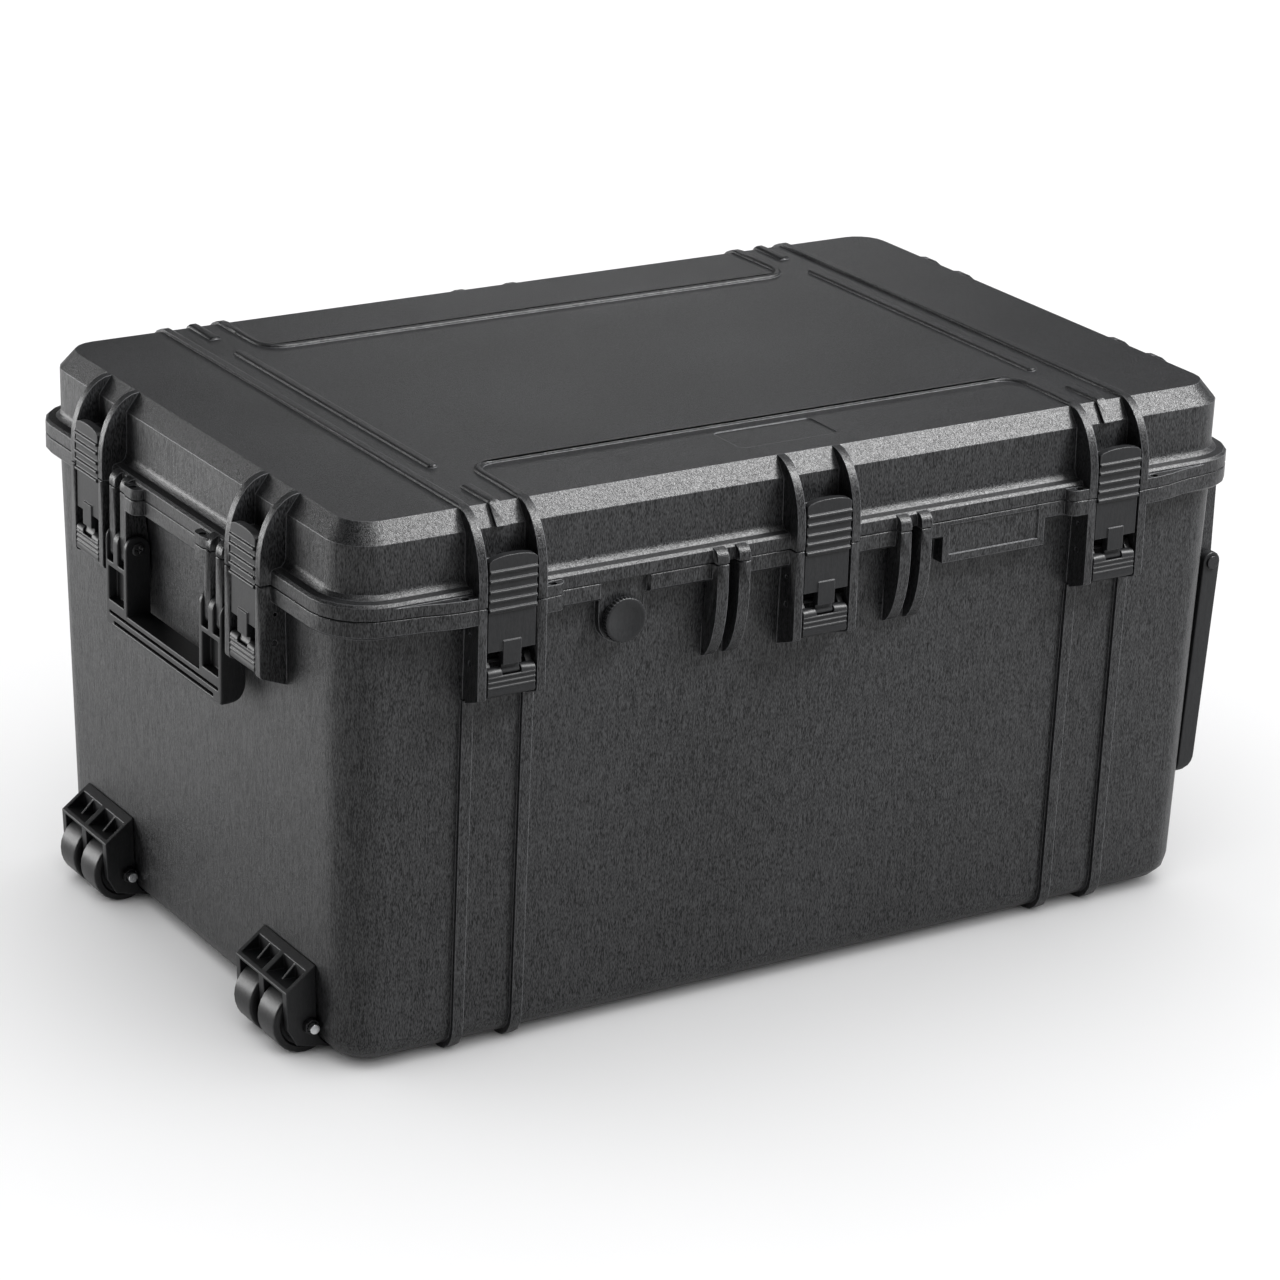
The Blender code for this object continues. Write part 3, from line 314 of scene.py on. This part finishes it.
def mark_lips(mesh, height, share, outer_only):
    """Bevel weight on the edges between level faces at one height and the walls beside them."""
    work = bmesh.new()
    work.from_mesh(mesh)
    layers = work.edges.layers.float
    marks = layers.get("bevel_weight_edge") or layers.new("bevel_weight_edge")
    for edge in work.edges:
        if len(edge.link_faces) != 2 or any(abs(v.co.z - height) > SAME_HEIGHT for v in edge.verts):
            continue
        top, wall = sorted(edge.link_faces, key=lambda face: -abs(face.normal.z))
        middle = (edge.verts[0].co + edge.verts[1].co) / 2.0
        outer = wall.normal.x * middle.x + wall.normal.y * middle.y > 0.0
        turns = abs(top.normal.z) > LEVEL and abs(wall.normal.z) < UPRIGHT
        if turns and (outer or not outer_only):
            edge[marks] = share
            edge.smooth = True
    work.to_mesh(mesh)
    work.free()


def refined(node, material, width):
    """The node's shape with softened edges, standing for the node."""
    mesh = cleaned_copy(node)
    shell = node in PARTING
    if shell:
        smooth_by_angle(mesh, SHARP_FROM)
        mark_lips(mesh, PARTING[node], PARTING_SHARE, outer_only=True)
        mark_lips(mesh, RIDGE_TOP, 1.0, outer_only=False)
    else:
        mesh.shade_smooth()
    piece = new_piece(f"{node}_detail", mesh, material, body_of_node[node], [node])
    bevel = piece.modifiers.new("edges", "BEVEL")
    bevel.width = SHELL_EDGE if shell else width
    bevel.segments = 3 if shell else 2
    bevel.limit_method = "WEIGHT" if shell else "ANGLE"
    bevel.angle_limit = math.radians(SHARP_FROM)
    bevel.use_clamp_overlap = False
    bevel.miter_outer = "MITER_SHARP" if shell else "MITER_ARC"
    bevel.loop_slide = False
    normals = piece.modifiers.new("normals", "WEIGHTED_NORMAL")
    normals.weight = 100
    normals.keep_sharp = shell
    return piece


def new_piece(name, mesh, material, body, nodes):
    """An object that stands for the nodes, rides their body and wears the material."""
    mesh.materials.clear()
    mesh.materials.append(material)
    piece = bpy.data.objects.new(name, mesh)
    bpy.context.scene.collection.objects.link(piece)
    case_collection.objects.link(piece)
    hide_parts(*nodes)
    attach(piece, body)
    return piece


def lathe(profile, sides, ripple=None):
    """Closed turned shape about local Z from (radius, height) pairs, first and last on the axis."""
    work = bmesh.new()
    rings = []
    for index, (radius, height) in enumerate(profile):
        if radius == 0.0:
            rings.append([work.verts.new((0.0, 0.0, height))])
            continue
        ring = []
        for step in range(sides):
            turn = 2.0 * math.pi * step / sides
            reach = radius * (ripple(turn, index) if ripple else 1.0)
            ring.append(work.verts.new((reach * math.cos(turn), reach * math.sin(turn), height)))
        rings.append(ring)
    for low, high in zip(rings, rings[1:]):
        for step in range(sides):
            after = (step + 1) % sides
            if len(low) == 1:
                work.faces.new((low[0], high[step], high[after]))
            elif len(high) == 1:
                work.faces.new((low[step], high[0], low[after]))
            else:
                work.faces.new((low[step], high[step], high[after], low[after]))
    bmesh.ops.recalc_face_normals(work, faces=work.faces[:])
    return work


def placed(work, name, at, outward):
    """The working mesh as a named mesh, its local Z turned outward and its origin at a point."""
    turn = Vector(outward).to_track_quat("Z", "X").to_matrix().to_4x4()
    work.transform(Matrix.Translation(at) @ turn)
    mesh = bpy.data.meshes.new(name)
    work.to_mesh(mesh)
    work.free()
    return mesh


def valve_cap(materials):
    """Knurled knob with a dished face and a ridged skirt."""
    low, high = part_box("valve_cap")
    radius = (high.x - low.x) / 2.0
    depth = high.y - low.y
    # From the middle of the face outward: dish, raised ring, rounded edge, knurled skirt, back.
    profile = [
        (0.0, -0.0008), (0.60 * radius, -0.0008), (0.64 * radius, -0.0003), (0.80 * radius, -0.0003),
        (0.83 * radius, 0.0), (0.90 * radius, 0.0), (0.955 * radius, -0.0005), (0.985 * radius, -0.0014),
        (radius, -0.0024), (radius, -depth + 0.0014), (0.97 * radius, -depth + 0.0005),
        (0.90 * radius, -depth), (0.0, -depth),
    ]

    def knurl(turn, index):
        """How far the skirt's three rings reach at this turn, as a share of their radius."""
        if index not in (7, 8, 9):
            return 1.0
        return 1.0 - KNURL_SHARE * (0.5 - 0.5 * math.cos(KNURLS * turn)) ** 1.5

    work = lathe(profile, KNURLS * STEPS_PER_KNURL, knurl)
    at = Vector(((low.x + high.x) / 2.0, low.y, (low.z + high.z) / 2.0))
    mesh = placed(work, "valve_cap_detail", at, (0.0, -1.0, 0.0))
    smooth_by_angle(mesh, KNOB_SHARP_FROM)
    return new_piece("valve_cap_detail", mesh, materials["trim"], "valve_cap", ["valve_cap"])


def cross_head(radius, height, reach, width, depth):
    """Screw head with a cross-shaped drive recess, facing local Z."""
    work = lathe([(radius, -height), (radius, -0.35 * height), (0.86 * radius, 0.0)], 32)
    rim = [v for v in work.verts if v.co.z > -0.1 * height]
    bottom_ring = [v for v in work.verts if v.co.z < -0.9 * height]
    half = [
        (reach, -width), (reach, width), (width, width),
        (width, reach), (-width, reach), (-width, width),
    ]
    corners = half + [(-x, -y) for x, y in half]
    top = [work.verts.new((x, y, 0.0)) for x, y in corners]
    floor = [work.verts.new((0.7 * x, 0.7 * y, -depth)) for x, y in corners]
    edges = [work.edges.new((a, b)) for a, b in zip(top, top[1:] + top[:1])]
    rim_edges = [e for e in work.edges if all(v in rim for v in e.verts)]
    bmesh.ops.triangle_fill(work, use_beauty=True, edges=edges + rim_edges)
    for index in range(len(top)):
        after = (index + 1) % len(top)
        work.faces.new((top[index], top[after], floor[after], floor[index]))
    work.faces.new(floor)
    ring = sorted(bottom_ring, key=lambda v: math.atan2(v.co.y, v.co.x))
    work.faces.new(ring)
    bmesh.ops.recalc_face_normals(work, faces=work.faces[:])
    return work


def pivot_screw(node, body, inward, materials):
    """Cross-headed screw on the arm's inner face, with its shank through the arm."""
    low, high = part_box(node)
    radius = (high.z - low.z) / 2.0
    face = high.y if inward > 0 else low.y
    at = Vector(((low.x + high.x) / 2.0, face, (low.z + high.z) / 2.0))
    work = cross_head(
        radius, height=SCREW_HEAD, reach=0.62 * radius, width=0.13 * radius, depth=SCREW_RECESS
    )
    end = -(high.y - low.y)
    shank = lathe([(0.0, end), (SHANK_RADIUS, end), (SHANK_RADIUS, -SCREW_HEAD), (0.0, -SCREW_HEAD)], 20)
    shank_mesh = bpy.data.meshes.new("shank")
    shank.to_mesh(shank_mesh)
    shank.free()
    work.from_mesh(shank_mesh)
    mesh = placed(work, f"{node}_detail", at, (0.0, float(inward), 0.0))
    smooth_by_angle(mesh, SCREW_SHARP_FROM)
    return new_piece(f"{node}_detail", mesh, materials["black_steel"], body, [node])


# ------------------------------------------------------------------ setting
def make_camera():
    """The camera, turned about its own axis by ROLL."""
    data = bpy.data.cameras.new("view")
    data.lens = LENS_MM
    data.sensor_width = SENSOR_MM
    data.clip_start = 0.05
    data.clip_end = 100.0
    camera = bpy.data.objects.new("view", data)
    bpy.context.scene.collection.objects.link(camera)
    back = Vector((
        math.sin(AZIMUTH) * math.cos(ELEVATION),
        -math.cos(AZIMUTH) * math.cos(ELEVATION),
        math.sin(ELEVATION),
    ))
    right = Vector((0.0, 0.0, 1.0)).cross(back).normalized()
    up = back.cross(right)
    across = math.cos(ROLL) * right + math.sin(ROLL) * up
    upward = -math.sin(ROLL) * right + math.cos(ROLL) * up
    turn = Matrix((across, upward, back)).transposed().to_4x4()
    camera.matrix_world = Matrix.Translation(CAMERA_AT) @ turn
    bpy.context.scene.camera = camera


def lamp(name, kind, receivers, **settings):
    """A light that shines only on one collection, and casts the shadows of everything."""
    data = bpy.data.lights.new(name, kind)
    for key, value in settings.items():
        setattr(data, key, value)
    light = bpy.data.objects.new(name, data)
    bpy.context.scene.collection.objects.link(light)
    light.light_linking.receiver_collection = receivers
    return light


def softbox(name, at, target, width, height, power):
    """A rectangular lamp that faces its target."""
    light = lamp(name, "AREA", case_collection, shape="RECTANGLE", size=width, size_y=height, energy=power)
    light.location = at
    light.rotation_euler = (Vector(target) - Vector(at)).to_track_quat("-Z", "Y").to_euler()


def sky(name, receivers, towards, power, spread):
    """A broad lamp far off, in the direction given, its spread in degrees."""
    light = lamp(name, "SUN", receivers, energy=power, angle=math.radians(spread))
    light.rotation_euler = Vector(towards).to_track_quat("Z", "Y").to_euler()


def make_floor():
    """A plain square floor, which is not part of the case."""
    floor = bpy.data.meshes.new("studio_floor")
    corners = [(x * FLOOR_REACH, y * FLOOR_REACH, 0.0) for x, y in ((-1, -1), (1, -1), (1, 1), (-1, 1))]
    floor.from_pydata(corners, [], [(0, 1, 2, 3)])
    floor.materials.append(floor_material())
    stage = bpy.data.objects.new("studio_floor", floor)
    bpy.context.scene.collection.objects.link(stage)
    floor_collection.objects.link(stage)


def make_lights():
    """The lamps that light the case, the one that lights the floor, and a dim white world."""
    world = bpy.data.worlds.new("studio")
    world.use_nodes = True
    world.node_tree.nodes["Background"].inputs["Color"].default_value = (1.0, 1.0, 1.0, 1.0)
    world.node_tree.nodes["Background"].inputs["Strength"].default_value = WORLD_STRENGTH
    bpy.context.scene.world = world
    softbox(
        "softbox_left", at=(-2.4, 2.5, 0.5), target=(-0.4, 0.0, 0.2), width=2.4, height=1.0, power=95.0
    )
    softbox(
        "softbox_top", at=(1.75, -1.6, 2.6), target=(0.0, -0.2, 0.35), width=1.0, height=0.6, power=185.0
    )
    softbox(
        "softbox_back", at=(1.9, 3.2, 1.3), target=(0.0, 0.0, 0.43), width=1.2, height=0.5, power=3.5
    )
    sky("sky_panel", case_collection, towards=(0.35, -0.35, 0.87), power=3.1, spread=50.0)
    sky("floor_glow", floor_collection, towards=(0.1, -0.1, 1.0), power=3.6, spread=140.0)
    bpy.context.scene.view_settings.view_transform = "Standard"


case_collection = bpy.data.collections.new("case")
floor_collection = bpy.data.collections.new("floor")
body_of_node = {
    node: body for body, members in frame["record"]["behaviour"]["bodies"].items() for node in members
}
slot_of_node = {part["node"]: part["material_slot"] for part in frame["record"]["subparts"]}
materials = make_materials()
make_camera()
make_floor()
make_lights()
for node in frame["nodes"]:
    if node in SPECIAL:
        continue
    finish = "black_steel" if node.startswith(DARK_PINS) else slot_of_node[node]
    refined(node, materials[finish], EDGE_WIDTH.get(node, SMALL_EDGE))
valve_cap(materials)
pivot_screw("carry_handle_pin_front", body_of_node["carry_handle_pin_front"], 1, materials)
pivot_screw("carry_handle_pin_rear", body_of_node["carry_handle_pin_rear"], -1, materials)
